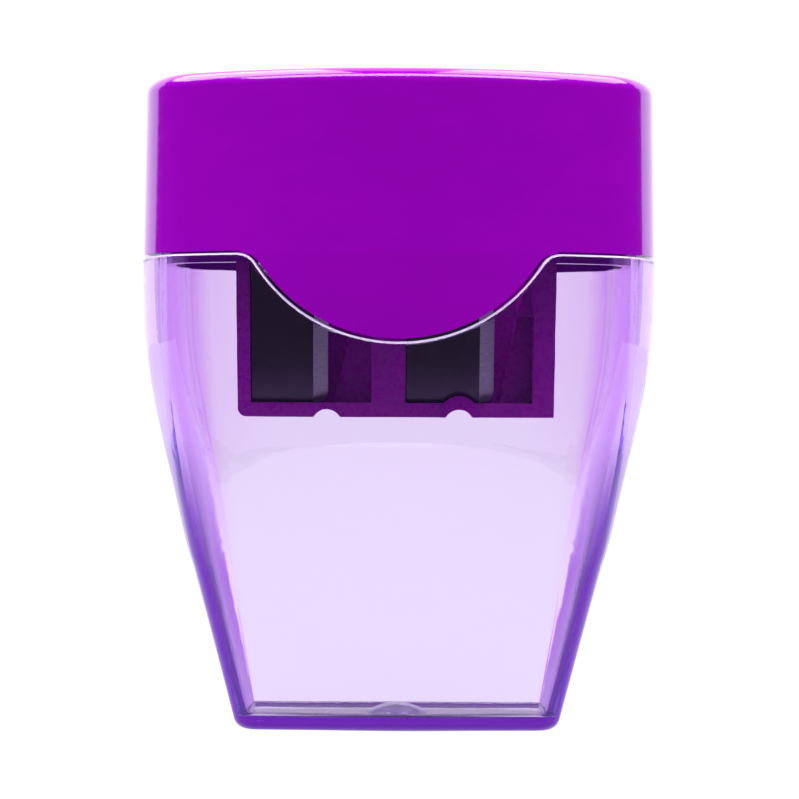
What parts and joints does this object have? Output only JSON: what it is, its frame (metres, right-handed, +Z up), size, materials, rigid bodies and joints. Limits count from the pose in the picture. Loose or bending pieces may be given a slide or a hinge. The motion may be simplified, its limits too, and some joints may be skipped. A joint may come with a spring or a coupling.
{
  "type": "pencil sharpener",
  "caption": "Canister pencil sharpener with a violet lid that has rounded tongues, a standard and a jumbo pencil hole, and a see-through tapered shavings container.",
  "frame": {"origin": "centre of the container's flat base, on the table", "axes": "+Z up through the lid, +X towards the jumbo hole, -Y towards the blades"},
  "size_m": [0.044, 0.0268, 0.055],
  "materials": {
    "violet_plastic": "glossy",
    "clear_lavender_plastic": "glossy",
    "blade_steel": "brushed",
    "screw_steel": "satin"
  },
  "bodies": {
    "receptacle": {"container": "clear_lavender_plastic"},
    "head": {"lid_shell": "violet_plastic", "sharpener_insert": "violet_plastic", "standard_blade": "blade_steel", "jumbo_blade": "blade_steel", "standard_blade_screw": "screw_steel", "jumbo_blade_screw": "screw_steel"}
  },
  "joints": [
    {"name": "lid_lift", "type": "slide", "parent": "receptacle", "child": "head", "axis": [0, 0, 1], "range_m": [0, 0.045]}
  ]
}
